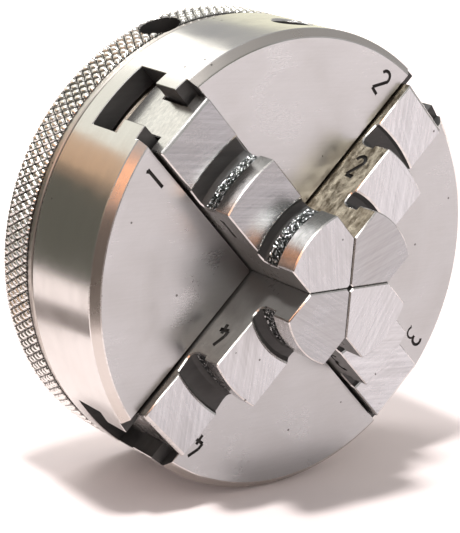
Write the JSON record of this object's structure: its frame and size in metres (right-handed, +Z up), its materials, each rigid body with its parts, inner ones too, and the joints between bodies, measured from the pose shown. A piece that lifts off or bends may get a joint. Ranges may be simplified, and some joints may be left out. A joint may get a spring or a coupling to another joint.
{
  "type": "lathe chuck",
  "caption": "Small self-centring scroll chuck with a smooth round body, stepped jaws in radial slots and a knurled scroll ring behind, turned by hand with tommy bars.",
  "frame": {"origin": "on the spindle axis, in the plane of the hub's rear seat face", "axes": "+Z up; the spindle axis lies along Y, the jaws face -Y and the spindle comes in from +Y; the jaws lie on the two diagonals of the XZ plane"},
  "size_m": [0.08, 0.0429, 0.08],
  "materials": {
    "body": "ground and fine-turned bare steel",
    "ring": "knurled and turned bare steel",
    "jaw": "hardened and ground steel",
    "cover": "turned bare steel",
    "screw": "black oxide steel"
  },
  "bodies": {
    "body": {"chuck_body": "body", "cover_plate": "cover", "cover_screw_1": "screw", "cover_screw_2": "screw", "cover_screw_3": "screw", "cover_screw_4": "screw"},
    "scroll": {"scroll_ring": "ring"},
    "jaw_one": {"jaw_1": "jaw"},
    "jaw_two": {"jaw_2": "jaw"},
    "jaw_three": {"jaw_3": "jaw"},
    "jaw_four": {"jaw_4": "jaw"}
  },
  "joints": [
    {"name": "scroll_turn", "type": "hinge", "parent": "body", "child": "scroll", "pos_m": [0, 0, 0], "axis": [0, -1, 0], "range_deg": [0, 1296]},
    {"name": "jaw_1_slide", "type": "slide", "parent": "body", "child": "jaw_one", "axis": [-0.7071, 0, 0.7071], "range_m": [0, 0.018]},
    {"name": "jaw_2_slide", "type": "slide", "parent": "body", "child": "jaw_two", "axis": [0.7071, 0, 0.7071], "range_m": [0, 0.018]},
    {"name": "jaw_3_slide", "type": "slide", "parent": "body", "child": "jaw_three", "axis": [0.7071, 0, -0.7071], "range_m": [0, 0.018]},
    {"name": "jaw_4_slide", "type": "slide", "parent": "body", "child": "jaw_four", "axis": [-0.7071, 0, -0.7071], "range_m": [0, 0.018]}
  ],
  "couplings": [
    {"joint": "scroll_turn", "follows": "jaw_1_slide", "rad_per_m": 1256.6},
    {"joint": "jaw_2_slide", "follows": "jaw_1_slide", "ratio": 1},
    {"joint": "jaw_3_slide", "follows": "jaw_1_slide", "ratio": 1},
    {"joint": "jaw_4_slide", "follows": "jaw_1_slide", "ratio": 1}
  ]
}
